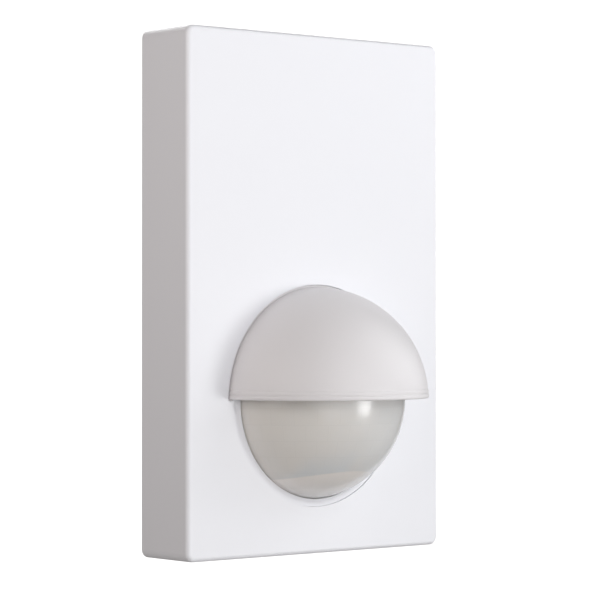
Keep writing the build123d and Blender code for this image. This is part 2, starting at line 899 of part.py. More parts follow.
# Terminal block: a row of poles, each with a pocket for its clamp and a slot for its contact blade
pocket_z = pocket_bottom + clamp_height / 2 + clamp_fit
clamp_front = block_front - clamp_cover
clamp_rear = clamp_front - clamp_depth
wire_depth = (clamp_front + clamp_rear) / 2
with BuildPart() as terminal_block:
    bar_at(0, block_bottom + block_height / 2, block_width, block_height, bracket_wall, block_front)
    bar_at(
        0,
        block_screw_z,
        block_width + 2 * block_ear,
        block_ear_height,
        bracket_wall,
        bracket_wall + block_ear_thickness,
    )
    for pole_x in pole_places:
        bar_at(
            pole_x,
            pocket_z,
            clamp_width + 2 * clamp_fit,
            clamp_height + 2 * clamp_fit,
            clamp_rear,
            block_front,
            mode=Mode.SUBTRACT,
        )
        bar_at(
            pole_x,
            blade_top - blade_width / 2,
            blade_thickness + 2 * cover_gap,
            blade_width + 2 * blade_gap,
            blade_tip - blade_gap,
            block_front,
            mode=Mode.SUBTRACT,
        )
        with BuildSketch(Plane.XY.offset(block_bottom)):
            with Locations((pole_x, -wire_depth)):
                Circle(wire_hole_radius)
        extrude(amount=clamp_foot, mode=Mode.SUBTRACT)
    rods(
        block_screw_places,
        block_screw_radius + pin_gap,
        bracket_wall,
        bracket_wall + block_ear_thickness,
        mode=Mode.SUBTRACT,
    )
save(terminal_block.part, "terminal_block")

with BuildPart() as terminal_block_screws:
    screws(
        block_screw_places,
        block_screw_radius,
        block_screw_head_radius,
        block_screw_head_height,
        bracket_wall + block_ear_thickness,
        block_screw_tip,
    )
save(terminal_block_screws.part, "terminal_block_screws")

# Clamps: square cages, open along Z for the wire
terminal_places = [(pole_x, pocket_z) for pole_x in pole_places]
with BuildPart() as terminal_clamps:
    for pole_x, clamp_z in terminal_places:
        bar_at(pole_x, clamp_z, clamp_width, clamp_height, clamp_rear, clamp_front)
        bar_at(
            pole_x,
            clamp_z,
            clamp_width - 2 * clamp_wall,
            clamp_height,
            clamp_rear + clamp_wall,
            clamp_front - clamp_wall,
            mode=Mode.SUBTRACT,
        )
    rods(
        terminal_places,
        terminal_screw_radius + pin_gap,
        clamp_front - clamp_wall,
        clamp_front,
        mode=Mode.SUBTRACT,
    )
save(terminal_clamps.part, "terminal_clamps")

with BuildPart() as terminal_screws:
    screws(
        terminal_places,
        terminal_screw_radius,
        terminal_screw_head_radius,
        terminal_screw_head_height,
        clamp_front,
        clamp_front - terminal_screw_reach,
    )
save(terminal_screws.part, "terminal_screws")

# Main board, with the blades that plug into the terminal block
with BuildPart() as main_board:
    bar(board_width, board_height, main_board_rear, main_board_front, board_corner_radius)
    rods(
        post_places,
        board_screw_radius + pin_gap,
        main_board_rear,
        main_board_front,
        mode=Mode.SUBTRACT,
    )
save(main_board.part, "main_board")

with BuildPart() as board_screws:
    screws(
        post_places,
        board_screw_radius,
        board_screw_head_radius,
        board_screw_head_height,
        main_board_rear,
        main_board_front + board_screw_length - cover_gap,
    )
save(board_screws.part, "board_screws")

with BuildPart() as contact_blades:
    for pole_x in pole_places:
        bar_at(
            pole_x,
            blade_top - blade_width / 2,
            blade_thickness,
            blade_width,
            blade_tip,
            main_board_rear,
        )
save(contact_blades.part, "contact_blades")


def boxed_part(name, x, z, width, height, rear, front):
    """A moulded box on a board, its upright edges rounded."""
    with BuildPart() as piece:
        bar_at(x, z, width, height, rear, front)
        fillet(piece.edges().filter_by(Axis.Y), part_edge_radius)
    save(piece.part, name)


boxed_part(
    "relay",
    relay_x,
    relay_z,
    relay_width,
    relay_height,
    main_board_rear - relay_depth,
    main_board_rear,
)
boxed_part(
    "film_capacitor",
    film_x,
    film_z,
    film_width,
    film_height,
    main_board_rear - film_depth,
    main_board_rear,
)
boxed_part(
    "microcontroller",
    chip_x,
    chip_z,
    chip_width,
    chip_width,
    main_board_front,
    main_board_front + chip_height,
)
boxed_part(
    "board_connector",
    0,
    dome_z - connector_drop,
    connector_width,
    connector_height,
    main_board_front,
    sensor_board_rear,
)

# Storage capacitor, lying along Z, with the groove of its crimp near the foot
storage_foot = storage_z - storage_length / 2
storage_depth = main_board_rear - storage_radius
with BuildPart() as storage_capacitor:
    with BuildSketch(Plane.XY.offset(storage_foot)):
        with Locations((storage_x, -storage_depth)):
            Circle(storage_radius)
    extrude(amount=storage_length)
    with BuildSketch(Plane.XY.offset(storage_foot + storage_radius / 2)):
        with Locations((storage_x, -storage_depth)):
            Circle(storage_radius)
            Circle(storage_radius - storage_crimp, mode=Mode.SUBTRACT)
    extrude(amount=storage_crimp * 2, mode=Mode.SUBTRACT)
save(storage_capacitor.part, "storage_capacitor")

# Varistor: a disc on edge with two leads down to the board
varistor_depth = main_board_rear - varistor_lead_length - varistor_radius
with BuildPart() as varistor:
    with BuildSketch(Plane.YZ.offset(varistor_x - varistor_thickness / 2)):
        with Locations((-varistor_depth, varistor_z)):
            Circle(varistor_radius)
    extrude(amount=varistor_thickness)
    fillet(varistor.edges().filter_by(GeomType.CIRCLE), varistor_thickness / 4)
    rods(
        [
            (varistor_x, varistor_z - varistor_lead_spacing / 2),
            (varistor_x, varistor_z + varistor_lead_spacing / 2),
        ],
        varistor_lead_radius,
        varistor_depth,
        main_board_rear,
    )
save(varistor.part, "varistor")

with BuildPart() as fuse:
    rods([(fuse_x, fuse_z)], fuse_radius, main_board_rear - fuse_height, main_board_rear)
    fillet(fuse.faces().sort_by(Axis.Y)[-1].edges(), part_edge_radius)
save(fuse.part, "fuse")

# Choke: a drum core with its winding round the waist
choke_rear = main_board_rear - choke_height
with BuildPart() as choke_core:
    rods([(choke_x, choke_z)], choke_waist_radius, choke_rear, main_board_rear)
    rods([(choke_x, choke_z)], choke_radius, choke_rear, choke_rear + choke_flange)
    rods([(choke_x, choke_z)], choke_radius, main_board_rear - choke_flange, main_board_rear)
save(choke_core.part, "choke_core")

with BuildPart() as choke_winding:
    with BuildSketch(at_depth(choke_rear + choke_flange + pin_gap)):
        with Locations((choke_x, choke_z)):
            Circle(choke_winding_radius)
            Circle(choke_waist_radius + pin_gap, mode=Mode.SUBTRACT)
    extrude(amount=choke_height - 2 * (choke_flange + pin_gap))
save(choke_winding.part, "choke_winding")

# Sensor board behind the well, and what stands on it
with BuildPart() as sensor_board:
    rods(dome_place, sensor_board_radius, sensor_board_rear, well_floor_rear)
    rods(
        sensor_screw_places,
        sensor_screw_radius + pin_gap,
        sensor_board_rear,
        well_floor_rear,
        mode=Mode.SUBTRACT,
    )
save(sensor_board.part, "sensor_board")

with BuildPart() as sensor_board_screws:
    screws(
        sensor_screw_places,
        sensor_screw_radius,
        sensor_screw_head_radius,
        sensor_screw_head_height,
        sensor_board_rear,
        sensor_board_rear + sensor_screw_length,
    )
save(sensor_board_screws.part, "sensor_board_screws")

# Carrier: a roof that turns the two sensors to the left and to the right
carrier_shoulder = well_floor_rear + carrier_foot
carrier_ridge = carrier_shoulder + carrier_half_width * tan(radians(sensor_tilt))
with BuildPart() as sensor_carrier:
    with BuildSketch(
        Plane(
            origin=(0, 0, dome_z + carrier_height / 2),
            x_dir=(1, 0, 0),
            z_dir=(0, 0, -1),
        )
    ):
        Polygon(
            (-carrier_half_width, well_floor_rear),
            (carrier_half_width, well_floor_rear),
            (carrier_half_width, carrier_shoulder),
            (0, carrier_ridge),
            (-carrier_half_width, carrier_shoulder),
            align=None,
        )
    extrude(amount=carrier_height)
save(sensor_carrier.part, "sensor_carrier")

for side, hand in ((-1, "left"), (1, "right")):
    slope = Plane(
        origin=(
            side * carrier_half_width / 2,
            -(carrier_shoulder + carrier_ridge) / 2,
            dome_z,
        ),
        x_dir=(0, 0, 1),
        z_dir=(side * sin(radians(sensor_tilt)), -cos(radians(sensor_tilt)), 0),
    )
    with BuildPart() as pir_sensor:
        with BuildSketch(slope):
            Circle(can_flange_radius)
        extrude(amount=can_flange_height)
        with BuildSketch(slope):
            Circle(can_radius)
        extrude(amount=can_height)
        with BuildSketch(slope.offset(can_height - window_thickness)):
            Rectangle(window_height + 2 * pin_gap, window_width + 2 * pin_gap)
        extrude(amount=window_thickness, mode=Mode.SUBTRACT)
    save(pir_sensor.part, f"pir_sensor_{hand}")
    with BuildPart() as pir_window:
        with BuildSketch(slope.offset(can_height - window_thickness)):
            Rectangle(window_height, window_width)
        extrude(amount=window_thickness)
    save(pir_window.part, f"pir_window_{hand}")

light_top = well_floor_rear + light_sensor_height
light_places = polar_places(light_circle, light_count, light_first_angle)
for light_place, name in zip(light_places, ("light_sensor", "status_light")):
    with BuildPart() as light_part:
        rods([light_place], light_sensor_radius, well_floor_rear, light_top)
        fillet(light_part.faces().sort_by(Axis.Y)[0].edges(), light_sensor_radius * light_tip_share)
    save(light_part.part, name)

# Setting potentiometers and the knobs that turn them
pot_front = main_board_front + pot_height
knob_front = shell_front - knob_sink
knob_face_rear = knob_front - knob_face_thickness
shaft_front = pot_front + pot_shaft_length
for (x, z), setting in zip(knob_places, ("light_level", "time")):
    with BuildPart() as potentiometer:
        bar_at(x, z, pot_width, pot_width, main_board_front, pot_front)
        rods([(x, z)], pot_shaft_radius, pot_front, shaft_front)
    save(potentiometer.part, f"{setting}_potentiometer")
    with BuildPart() as knob:
        rods([(x, z)], knob_radius, knob_face_rear, knob_front)
        fillet(knob.faces().sort_by(Axis.Y)[0].edges(), knob_edge_radius)
        rods([(x, z)], knob_hub_radius, pot_front + cover_gap, knob_face_rear)
        rods(
            [(x, z)],
            pot_shaft_radius + pin_gap,
            pot_front + cover_gap,
            shaft_front + cover_gap,
            mode=Mode.SUBTRACT,
        )
        bar_at(
            x,
            z,
            knob_slot_width,
            knob_slot_length,
            knob_front - knob_slot_depth,
            knob_front,
            mode=Mode.SUBTRACT,
        )
    save(knob.part, f"{setting}_knob")
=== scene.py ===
import bpy
import bmesh
from functools import partial
from math import asin, copysign, cos, degrees, pi, radians, sin, sqrt, tan
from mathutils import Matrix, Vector


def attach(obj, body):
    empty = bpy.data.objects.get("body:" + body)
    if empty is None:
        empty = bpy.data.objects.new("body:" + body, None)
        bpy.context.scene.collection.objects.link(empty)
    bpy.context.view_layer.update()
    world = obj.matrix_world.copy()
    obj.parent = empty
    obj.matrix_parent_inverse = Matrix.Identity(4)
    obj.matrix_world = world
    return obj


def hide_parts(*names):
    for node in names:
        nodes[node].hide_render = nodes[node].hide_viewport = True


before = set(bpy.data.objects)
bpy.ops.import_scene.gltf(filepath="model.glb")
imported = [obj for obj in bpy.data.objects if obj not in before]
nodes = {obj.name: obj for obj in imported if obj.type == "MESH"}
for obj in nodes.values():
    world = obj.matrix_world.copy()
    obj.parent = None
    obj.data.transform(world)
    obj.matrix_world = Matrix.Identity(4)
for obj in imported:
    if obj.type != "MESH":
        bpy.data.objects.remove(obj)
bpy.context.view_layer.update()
scene = bpy.context.scene
mm = 0.001

# The camera stands to the left of the switch, a little below its middle, and looks almost level.
# A long lens about 0.63 m away gives the photograph's weak perspective.
camera_data = bpy.data.cameras.new("camera")
camera_data.sensor_width = 36.0
camera_data.lens = 159.1
camera_data.clip_start = 0.01
camera = bpy.data.objects.new("camera", camera_data)
camera.location = (-0.3919, -0.4897, -0.0058)
camera.rotation_euler = (
    Vector((0.6423, 0.7665, tan(radians(0.532)))).to_track_quat("-Z", "Y").to_euler()
)
scene.collection.objects.link(camera)
scene.camera = camera
scene.view_settings.view_transform = "Standard"
scene.view_settings.look = "None"

# The studio: a plain white sweep, a floor that bends up into a round backdrop. It is far enough
# away to cast nothing on the switch. Soft lamps stand round it, and the sky is pale below.
floor_drop, sweep_steps = -0.62, 64
sweep_profile = [(1.5, floor_drop), (1.8, floor_drop + 0.08), (1.95, floor_drop + 0.35), (2.0, 3.0)]
sweep_mesh = bpy.data.meshes.new("studio_sweep")
sweep_rows = [tuple(range(i * sweep_steps, (i + 1) * sweep_steps)) for i in range(len(sweep_profile))]
sweep_mesh.from_pydata(
    [
        (radius * cos(2 * pi * i / sweep_steps), radius * sin(2 * pi * i / sweep_steps), z)
        for radius, z in sweep_profile
        for i in range(sweep_steps)
    ],
    [],
    [sweep_rows[0]] + [
        (low[i - 1], low[i], high[i], high[i - 1])
        for low, high in zip(sweep_rows, sweep_rows[1:])
        for i in range(sweep_steps)
    ],
)
sweep = bpy.data.objects.new("studio_sweep", sweep_mesh)
scene.collection.objects.link(sweep)
paper = bpy.data.materials.new("white_paper")
paper.use_nodes = True
paper_shader = paper.node_tree.nodes["Principled BSDF"]
paper_shader.inputs["Base Color"].default_value = (0.9, 0.9, 0.9, 1)
paper_shader.inputs["Emission Color"].default_value = (1, 1, 1, 1)
paper_shader.inputs["Emission Strength"].default_value = 1.0
sweep_mesh.materials.append(paper)
for ray in ("visible_diffuse", "visible_glossy", "visible_transmission", "visible_shadow"):
    setattr(sweep, ray, False)


def soft_box(name, azimuth, elevation, distance, size, power, colour=(1, 1, 1)):
    """A round soft lamp aimed at the switch. Azimuth 0 is straight in front, positive to the right."""
    data = bpy.data.lights.new(name, "AREA")
    data.shape = "DISK"
    data.size = size
    data.energy = power
    data.color = colour
    light = bpy.data.objects.new(name, data)
    turn, rise = radians(azimuth), radians(elevation)
    light.location = (
        distance * sin(turn) * cos(rise),
        -distance * cos(turn) * cos(rise),
        distance * sin(rise),
    )
    light.rotation_euler = (-light.location).to_track_quat("-Z", "Y").to_euler()
    light.visible_camera = False
    scene.collection.objects.link(light)


cool_white, front_white, warm_white = (0.975, 0.985, 1.0), (0.98, 0.985, 1.0), (1, 0.935, 0.9)
soft_box("front_right_box", 30, -8, 1.0, 0.3, 2.4)
soft_box("near_right_box", 45, 30, 0.45, 0.4, 0.6, cool_white)
soft_box("upper_right_box", 60, 35, 0.9, 0.6, 0.49, cool_white)
soft_box("far_right_box", 78, 12, 1.0, 0.5, 1.18, cool_white)
soft_box("front_box", -5, 0, 1.2, 1.0, 3.5, front_white)
soft_box("upper_front_box", -5, 18, 0.42, 0.3, 0.256, front_white)
soft_box("left_box", -85, 28, 0.35, 0.3, 0.238, warm_white)
soft_box("near_left_box", -70, 8, 0.3, 0.22, 0.162, warm_white)
soft_box("back_box", 165, 35, 0.9, 0.7, 4.5)


def added(tree, kind, inputs, **settings):
    """Add a node to a tree. Each input gets a fixed value, another node's output, or a list of outputs."""
    node = tree.nodes.new(kind)
    for label, value in settings.items():
        setattr(node, label, value)
    for label, value in inputs.items():
        for source in value if isinstance(value, list) else [value]:
            if isinstance(source, bpy.types.NodeSocket):
                tree.links.new(source, node.inputs[label])
            else:
                node.inputs[label].default_value = source
    return node.outputs


def blended(tree, factor, first, second, way="MIX"):
    """A colour between two others."""
    colours = {"Factor": factor, "A": first, "B": second}
    return added(tree, "ShaderNodeMix", colours, data_type="RGBA", blend_type=way)["Result"]


sky = bpy.data.worlds.new("pale_sky")
sky.use_nodes = True
sky_tree = sky.node_tree
direction = added(sky_tree, "ShaderNodeTexCoord", {})["Generated"]
upward = added(sky_tree, "ShaderNodeSeparateXYZ", {0: direction})["Z"]
fade = added(sky_tree, "ShaderNodeMapRange", {"Value": upward, "From Min": -0.6, "From Max": 0.6})["Result"]
sky_colour = blended(sky_tree, fade, (0.318, 0.304, 0.296, 1), (0.0, 0.0, 0.0, 1))
sky_tree.links.new(sky_colour, sky_tree.nodes["Background"].inputs["Color"])
scene.world = sky


# Wall bracket: a shallow box, moulded in light grey ABS, that two screws hold on the wall. Ribs
# stiffen its base, rings mark where a cable hole may be knocked out, an arrow shows the upper end,
# and the latch's tongue is moulded on its lower side.
def worked_out(tree, operation, *values):
    """One step of arithmetic in a node tree."""
    return added(tree, "ShaderNodeMath", dict(enumerate(values)), operation=operation)[0]


def cloudy(tree, place, scale, detail=2.0):
    """A soft irregular pattern from 0 to 1."""
    return added(tree, "ShaderNodeTexNoise", {"Vector": place, "Scale": scale, "Detail": detail})["Fac"]


def new_shader_group(name, inputs):
    """A shader group with these inputs, their sockets and the Object coordinates."""
    tree = bpy.data.node_groups.new(name, "ShaderNodeTree")
    for label, value in inputs.items():
        kind = "Float" if isinstance(value, float) else {3: "Vector", 4: "Color"}[len(value)]
        socket = tree.interface.new_socket(label, in_out="INPUT", socket_type="NodeSocket" + kind)
        socket.default_value = value
    for label, kind in (("Colour", "Color"), ("Roughness", "Float"), ("Height", "Float")):
        tree.interface.new_socket(label, in_out="OUTPUT", socket_type="NodeSocket" + kind)
    place = added(tree, "ShaderNodeTexCoord", {})["Object"]
    return tree, added(tree, "NodeGroupInput", {}), place


def put_out(tree, colour, roughness, height):
    """End a shader group with what it puts out."""
    added(tree, "NodeGroupOutput", {"Colour": colour, "Roughness": roughness, "Height": height})
    return tree


def moulded_skin():
    """Shader group: slow changes of tone and a fine spark-eroded grain, as on moulded plastic."""
    tree, given, place = new_shader_group("moulded_skin", {
        "Colour": (0.8, 0.8, 0.8, 1), "Shade": (0.7, 0.7, 0.7, 1), "Roughness": 0.5,
        "Grain Scale": 3000.0, "Tone Scale": 30.0, "Rub": 0.06,
    })
    tone = cloudy(tree, place, given["Tone Scale"], 3.0)
    rubbed = worked_out(tree, "SUBTRACT", cloudy(tree, place, 160.0, 6.0), 0.5)
    return put_out(
        tree,
        blended(tree, tone, given["Colour"], given["Shade"]),
        worked_out(tree, "MULTIPLY_ADD", rubbed, given["Rub"], given["Roughness"]),
        cloudy(tree, place, given["Grain Scale"]),
    )


skin_group = moulded_skin()


def finish_with(material, group, bump, **values):
    """Place a shader group in a material and lead its colour, roughness and height to the shader."""
    material.use_nodes = True
    tree = material.node_tree
    values = {label.replace("_", " "): value for label, value in values.items()}
    effect = added(tree, "ShaderNodeGroup", values, node_tree=group)
    relief = {"Strength": 1.0, "Distance": bump, "Height": effect["Height"]}
    shader = tree.nodes["Principled BSDF"]
    tree.links.new(effect["Colour"], shader.inputs["Base Color"])
    tree.links.new(effect["Roughness"], shader.inputs["Roughness"])
    tree.links.new(added(tree, "ShaderNodeBump", relief)["Normal"], shader.inputs["Normal"])
    return shader


def moulded_plastic(name, colour, shade, roughness=0.5, grain=3000.0, bump=0.00001, rub=0.1, tone=30.0):
    """A moulded plastic with its own colour, a shade that it drifts to, and its own grain."""
    material = bpy.data.materials.new(name)
    finish_with(
        material, skin_group, bump,
        Colour=(*colour, 1), Shade=(*shade, 1), Roughness=roughness,
        Grain_Scale=grain, Rub=rub, Tone_Scale=tone,
    )
    return material


def dress(node, material):
    """Give a CAD node that stays in view its material."""
    mesh = nodes[node].data
    if not mesh.materials:
        mesh.materials.append(material)
    for entry in nodes[node].material_slots:
        entry.material = material


bracket_plastic = moulded_plastic("bracket_plastic", (0.62, 0.63, 0.64), (0.57, 0.58, 0.6), 0.48, 2200)
dress("wall_bracket", bracket_plastic)
dress("latch_lug", bracket_plastic)


def finished_piece(name, mesh, material, body, smooth):
    """Make a mesh one piece that rides on a body. Edges sharper than the smooth angle stay sharp."""
    mesh.materials.clear()
    mesh.materials.append(material)
    mesh.shade_smooth()
    mesh.set_sharp_from_angle(angle=radians(smooth))
    piece = bpy.data.objects.new(name, mesh)
    scene.collection.objects.link(piece)
    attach(piece, body)
    return piece


def piece_from(name, points, faces, material, body, slot, smooth=30):
    """A finished mesh piece in millimetres: x to the right, depth from the wall, z up."""
    mesh = bpy.data.meshes.new(name)
    mesh.from_pydata([(x * mm, -depth * mm, z * mm) for x, depth, z in points], [], faces)
    work = bmesh.new()
    work.from_mesh(mesh)
    bmesh.ops.remove_doubles(work, verts=work.verts, dist=0.000002)
    bmesh.ops.dissolve_degenerate(work, edges=work.edges, dist=0.000001)
    bmesh.ops.recalc_face_normals(work, faces=work.faces)
    work.to_mesh(mesh)
    work.free()
    return finished_piece(name, mesh, material, body, smooth)


def grown_on(name, places, tree, inputs, material, body, smooth=35):
    """Run a geometry tree on a list of places (x, depth, z) in millimetres and keep the plain mesh."""
    seeds = bpy.data.meshes.new(name + "_places")
    seeds.from_pydata([(x * mm, -depth * mm, z * mm) for x, depth, z in places], [], [])
    grower = bpy.data.objects.new(name + "_grower", seeds)
    scene.collection.objects.link(grower)
    modifier = grower.modifiers.new("grow", "NODES")
    modifier.node_group = tree
    values = {**inputs, "Finish": material}
    for item in tree.interface.items_tree:
        if item.in_out == "INPUT" and item.name in values:
            modifier[item.identifier] = values[item.name]
    bpy.context.view_layer.update()
    seen = grower.evaluated_get(bpy.context.evaluated_depsgraph_get())
    mesh = bpy.data.meshes.new_from_object(seen)
    mesh.name = name
    bpy.data.objects.remove(grower)
    for face in mesh.polygons:
        face.material_index = 0
    return finished_piece(name, mesh, material, body, smooth)


def new_geometry_tree(name, result_name, sizes):
    """A geometry tree with its places, named sizes, facing and finish, and its input's sockets."""
    tree = bpy.data.node_groups.new(name, "GeometryNodeTree")
    sockets = tree.interface
    sockets.new_socket("Places", in_out="INPUT", socket_type="NodeSocketGeometry")
    for label, value in sizes.items():
        kind = {int: "NodeSocketInt", float: "NodeSocketFloat", tuple: "NodeSocketVector"}[type(value)]
        sockets.new_socket(label, in_out="INPUT", socket_type=kind).default_value = value
    sockets.new_socket("Facing", in_out="INPUT", socket_type="NodeSocketVector")
    sockets.new_socket("Finish", in_out="INPUT", socket_type="NodeSocketMaterial")
    sockets.new_socket(result_name, in_out="OUTPUT", socket_type="NodeSocketGeometry")
    return tree, added(tree, "NodeGroupInput", {})


def made_real(tree, points, shape, rotation):
    """A shape set at every point, as one plain mesh."""
    setting = {"Points": points, "Instance": shape, "Rotation": rotation}
    laid = added(tree, "GeometryNodeInstanceOnPoints", setting)["Instances"]
    return added(tree, "GeometryNodeRealizeInstances", {"Geometry": laid})["Geometry"]


def spread_on_places(tree, given, shape, result_name):
    """End a geometry tree: its shape is set at every place, turned, made real and given its finish."""
    turn = added(tree, "FunctionNodeEulerToRotation", {"Euler": given["Facing"]})["Rotation"]
    real = made_real(tree, given["Places"], shape, turn)
    coat = added(tree, "GeometryNodeSetMaterial", {"Geometry": real, "Material": given["Finish"]})
    added(tree, "NodeGroupOutput", {result_name: coat["Geometry"]})
    return tree


def bar_tree():
    """Geometry tree: a row of equal bars set at every place, such as ribs, chip bodies or leads."""
    nowhere = (0.0, 0.0, 0.0)
    tree, given = new_geometry_tree("bar_rows", "Bars", {
        "Bar Size": (0.001, 0.001, 0.001), "Bars In A Row": 1, "Row Start": nowhere, "Row Step": nowhere,
    })
    bar = added(tree, "GeometryNodeMeshCube", {"Size": given["Bar Size"]})["Mesh"]
    line = added(tree, "GeometryNodeMeshLine", {
        "Count": given["Bars In A Row"], "Start Location": given["Row Start"], "Offset": given["Row Step"],
    })
    return spread_on_places(tree, given, made_real(tree, line["Mesh"], bar, nowhere), "Bars")


bar_rows = bar_tree()


def bars(name, places, size, count, step, material, body):
    """Rows of small bars. Size (across, out, up) and the step along a row are in millimetres."""
    return grown_on(
        name, places, bar_rows,
        {
            "Bar Size": tuple(side * mm for side in size),
            "Bars In A Row": count,
            "Row Start": tuple(-part * mm * (count - 1) / 2 for part in step),
            "Row Step": tuple(part * mm for part in step),
            "Facing": (0, 0, 0),
        },
        material, body,
    )


# the places are (x, depth, z); the base's inner face is 2 mm from the wall
base_face = 2.0
bars(
    "bracket_ribs", [(0, base_face + 0.3, 18)], (0.9, 1.0, 30), 4, (12.4, 0, 0),
    bracket_plastic, "bracket",
)
bars(
    "bracket_cross_ribs", [(0, base_face + 0.2, 18)], (38, 0.8, 0.9), 2, (0, 0, 15),
    bracket_plastic, "bracket",
)
arrow = [(-2.4, 35.5), (0, 38.4), (2.4, 35.5), (0.9, 35.5), (0.9, 32.6), (-0.9, 32.6), (-0.9, 35.5)]
arrow_points = [(x, base_face - 0.2 + rise, z) for rise in (0, 0.5) for x, z in arrow]
sides = len(arrow)
arrow_faces = [tuple(range(sides)), tuple(range(sides, 2 * sides))]
arrow_faces += [(i, (i + 1) % sides, sides + (i + 1) % sides, sides + i) for i in range(sides)]
piece_from("up_arrow", arrow_points, arrow_faces, bracket_plastic, "bracket", "bracket_grey")


def turned(profile, x, z, steps, first=0, last=360):
    """Points and faces of a closed outline (radius, depth) turned about an axis square to the wall,
    from the first to the last angle. Less than a full turn gets flat ends."""
    points, faces = [], []
    count = len(profile)
    whole = last - first == 360
    for step in range(steps if whole else steps + 1):
        angle = radians(first + (last - first) * step / steps)
        for radius, depth in profile:
            points.append((x + radius * cos(angle), depth, z + radius * sin(angle)))
    for step in range(steps):
        start, after = step * count, (step + 1) % steps * count if whole else (step + 1) * count
        for i in range(count):
            j = (i + 1) % count
            faces.append((start + i, start + j, after + j, after + i))
    if not whole:
        faces.append(tuple(range(count)))
        faces.append(tuple(steps * count + i for i in range(count)))
    return points, faces


knock_out_outline = [(7.6, 1.9), (7.6, 2.22), (7.75, 2.32), (8.05, 2.32), (8.2, 2.22), (8.2, 1.9)]
piece_from(
    "knock_out_rings", *turned(knock_out_outline, 0, 18, 48), bracket_plastic, "bracket", "bracket_grey",
)

# Hinge pin and the screws: zinc-plated steel, turned or rolled, with fine lines round the shank
# and cloudy plating. One tree makes every row of slotted screws from its list of places.
def worked_metal():
    """Shader group: fine drawn lines and cloudy plating on metal."""
    tree, given, place = new_shader_group("worked_metal", {
        "Colour": (0.7, 0.7, 0.7, 1), "Shade": (0.5, 0.5, 0.5, 1), "Roughness": 0.3,
        "Line Scale": 900.0, "Stretch": (1.0, 1.0, 0.05),
    })
    stretched = added(tree, "ShaderNodeVectorMath", {0: place, 1: given["Stretch"]}, operation="MULTIPLY")[0]
    cloud = cloudy(tree, place, 300.0, 5.0)
    return put_out(
        tree,
        blended(tree, cloud, given["Colour"], given["Shade"]),
        worked_out(tree, "MULTIPLY_ADD", cloud, 0.18, given["Roughness"]),
        cloudy(tree, stretched, given["Line Scale"]),
    )


metal_group = worked_metal()


def metal(name, colour, shade, roughness, lines=900.0, stretch=(1, 1, 0.05), bump=0.000006):
    """A bare or plated metal."""
    material = bpy.data.materials.new(name)
    shader = finish_with(
        material, metal_group, bump,
        Colour=(*colour, 1), Shade=(*shade, 1), Roughness=roughness, Line_Scale=lines, Stretch=stretch,
    )
    shader.inputs["Metallic"].default_value = 1.0
    return material


zinc_plate = metal("zinc_plate", (0.66, 0.67, 0.66), (0.5, 0.5, 0.47), 0.22)
dress("hinge_pin", zinc_plate)


def rod(tree, path, radius, sides):
    """A rod along a path, with closed ends."""
    outline = added(tree, "GeometryNodeCurvePrimitiveCircle", {"Resolution": sides, "Radius": radius})
    sweeping = {"Curve": path["Curve"], "Profile Curve": outline["Curve"], "Fill Caps": True}
    return added(tree, "GeometryNodeCurveToMesh", sweeping)["Mesh"]


def screw_tree():
    """Geometry tree: one slotted screw with a thread, set at every place, its head towards local +Z."""
    tree, given = new_geometry_tree("slotted_screws", "Screws", {
        "Head Radius": 0.002, "Head Height": 0.001, "Shank Radius": 0.001, "Shank Length": 0.006,
        "Pitch": 0.0007,
    })
    times = partial(worked_out, tree, "MULTIPLY")

    def joined(*parts):
        return added(tree, "GeometryNodeJoinGeometry", {"Geometry": list(parts)})["Geometry"]

    def merged(part):
        merging = {"Geometry": part, "Distance": 0.000002}
        return added(tree, "GeometryNodeMergeByDistance", merging)["Geometry"]

    def moved(part, height):
        lift = added(tree, "ShaderNodeCombineXYZ", {"Z": height})[0]
        return added(tree, "GeometryNodeTransform", {"Geometry": part, "Translation": lift})["Geometry"]

    def cone(lower, upper, height, sides=40, open_end=None):
        whole = added(tree, "GeometryNodeMeshCone", {
            "Vertices": sides, "Radius Bottom": lower, "Radius Top": upper, "Depth": height,
        })
        if open_end is None:
            return whole["Mesh"]
        taken = {"Geometry": whole["Mesh"], "Selection": whole[open_end]}
        return added(tree, "GeometryNodeDeleteGeometry", taken, domain="FACE")["Geometry"]

    # the head: a straight rim, a chamfered crown and a slot half as deep as the head is high
    head_radius, head_height = given["Head Radius"], given["Head Height"]
    rim_height, crown_height = times(head_height, 0.68), times(head_height, 0.32)
    rim = cone(head_radius, head_radius, rim_height, open_end="Top")
    crown = cone(head_radius, times(head_radius, 0.84), crown_height, open_end="Bottom")
    slot_sides = {"X": times(head_radius, 2.2), "Y": times(head_radius, 0.36), "Z": head_height}
    slot_size = added(tree, "ShaderNodeCombineXYZ", slot_sides)[0]
    slot = moved(added(tree, "GeometryNodeMeshCube", {"Size": slot_size})["Mesh"], head_height)
    head = {"Mesh 1": merged(joined(rim, moved(crown, rim_height))), "Mesh 2": slot}
    slotted_head = merged(added(tree, "GeometryNodeMeshBoolean", head, operation="DIFFERENCE")["Mesh"])

    # the shank: a core with a rolled thread round it and a blunt tip
    shank_radius, shank_length = given["Shank Radius"], given["Shank Length"]
    core_radius, tip_length = times(shank_radius, 0.82), times(shank_radius, 0.8)
    straight_length = worked_out(tree, "SUBTRACT", shank_length, tip_length)
    below = times(straight_length, -1.0)
    core = cone(core_radius, core_radius, times(straight_length, 1.03), 24)
    tip = cone(times(shank_radius, 0.5), times(core_radius, 0.98), times(tip_length, 1.05), 24)
    spiral = added(tree, "GeometryNodeCurveSpiral", {
        "Resolution": 20, "Rotations": worked_out(tree, "DIVIDE", straight_length, given["Pitch"]),
        "Start Radius": core_radius, "End Radius": core_radius, "Height": straight_length,
    })
    thread = rod(tree, spiral, times(shank_radius, 0.16), 4)
    whole_screw = joined(
        slotted_head, moved(core, below), moved(tip, times(shank_length, -1.0)), moved(thread, below),
    )
    return spread_on_places(tree, given, whole_screw, "Screws")


